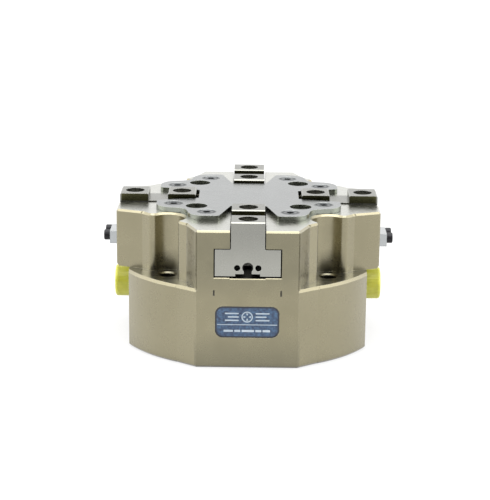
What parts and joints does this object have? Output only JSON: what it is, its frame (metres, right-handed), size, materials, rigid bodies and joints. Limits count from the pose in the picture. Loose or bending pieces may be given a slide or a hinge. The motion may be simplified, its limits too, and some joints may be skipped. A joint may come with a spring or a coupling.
{
  "type": "four-jaw pneumatic gripper",
  "caption": "Pneumatic centric gripper with radially sliding tee jaws in a cross-shaped head, a wedge-hook drive and a round base with a built-in air cylinder.",
  "frame": {"origin": "centre of the bottom mounting face", "axes": "+Z along the piston towards the jaws, label side at -Y, air ports at -X and +X"},
  "size_m": [0.124, 0.1106, 0.0609],
  "materials": {
    "body_anodised": "satin champagne anodised, machined",
    "cover_anodised": "satin anodised, turned",
    "plate_steel": "fine ground stainless",
    "jaw_steel": "ground and hardened",
    "hook_steel": "hardened, oiled",
    "piston_aluminium": "hard anodised, turned",
    "fastener_steel": "bare steel",
    "black_steel": "black oxide",
    "block_nickel": "bright nickel plated",
    "bronze": "sintered bronze",
    "seal_rubber": "nitrile rubber",
    "guide_plastic": "filled PTFE",
    "plug_plastic": "soft translucent polyethylene",
    "label_foil": null
  },
  "bodies": {
    "housing": {"housing": "body_anodised", "base_cover": "cover_anodised", "cover_seal": "seal_rubber", "cover_screws": "fastener_steel", "air_passage_plug": "bronze", "rod_bush": "bronze", "rod_seal": "seal_rubber", "top_plate": "plate_steel", "plate_screws": "fastener_steel", "port_plug_left": "plug_plastic", "port_plug_right": "plug_plastic", "label_plate": "label_foil"},
    "piston": {"piston": "piston_aluminium", "piston_seal": "seal_rubber", "piston_guide_ring": "guide_plastic", "wedge_hook": "hook_steel", "hook_screw": "black_steel", "hook_dowel": "fastener_steel"},
    "jaw_front": {"base_jaw_front": "jaw_steel"},
    "jaw_right": {"base_jaw_right": "jaw_steel", "trip_block_right": "block_nickel", "trip_pin_right": "fastener_steel", "trip_screws_right": "black_steel"},
    "jaw_back": {"base_jaw_back": "jaw_steel"},
    "jaw_left": {"base_jaw_left": "jaw_steel", "trip_block_left": "block_nickel", "trip_pin_left": "fastener_steel", "trip_screws_left": "black_steel"}
  },
  "joints": [
    {"name": "piston_slide", "type": "slide", "parent": "housing", "child": "piston", "axis": [0, 0, 1], "range_m": [0, 0.01]},
    {"name": "jaw_front_slide", "type": "slide", "parent": "housing", "child": "jaw_front", "axis": [0, -1, 0], "range_m": [0, 0.008]},
    {"name": "jaw_right_slide", "type": "slide", "parent": "housing", "child": "jaw_right", "axis": [1, 0, 0], "range_m": [0, 0.008]},
    {"name": "jaw_back_slide", "type": "slide", "parent": "housing", "child": "jaw_back", "axis": [0, 1, 0], "range_m": [0, 0.008]},
    {"name": "jaw_left_slide", "type": "slide", "parent": "housing", "child": "jaw_left", "axis": [-1, 0, 0], "range_m": [0, 0.008]}
  ],
  "couplings": [
    {"joint": "jaw_front_slide", "follows": "piston_slide", "ratio": 0.8},
    {"joint": "jaw_right_slide", "follows": "piston_slide", "ratio": 0.8},
    {"joint": "jaw_back_slide", "follows": "piston_slide", "ratio": 0.8},
    {"joint": "jaw_left_slide", "follows": "piston_slide", "ratio": 0.8}
  ]
}
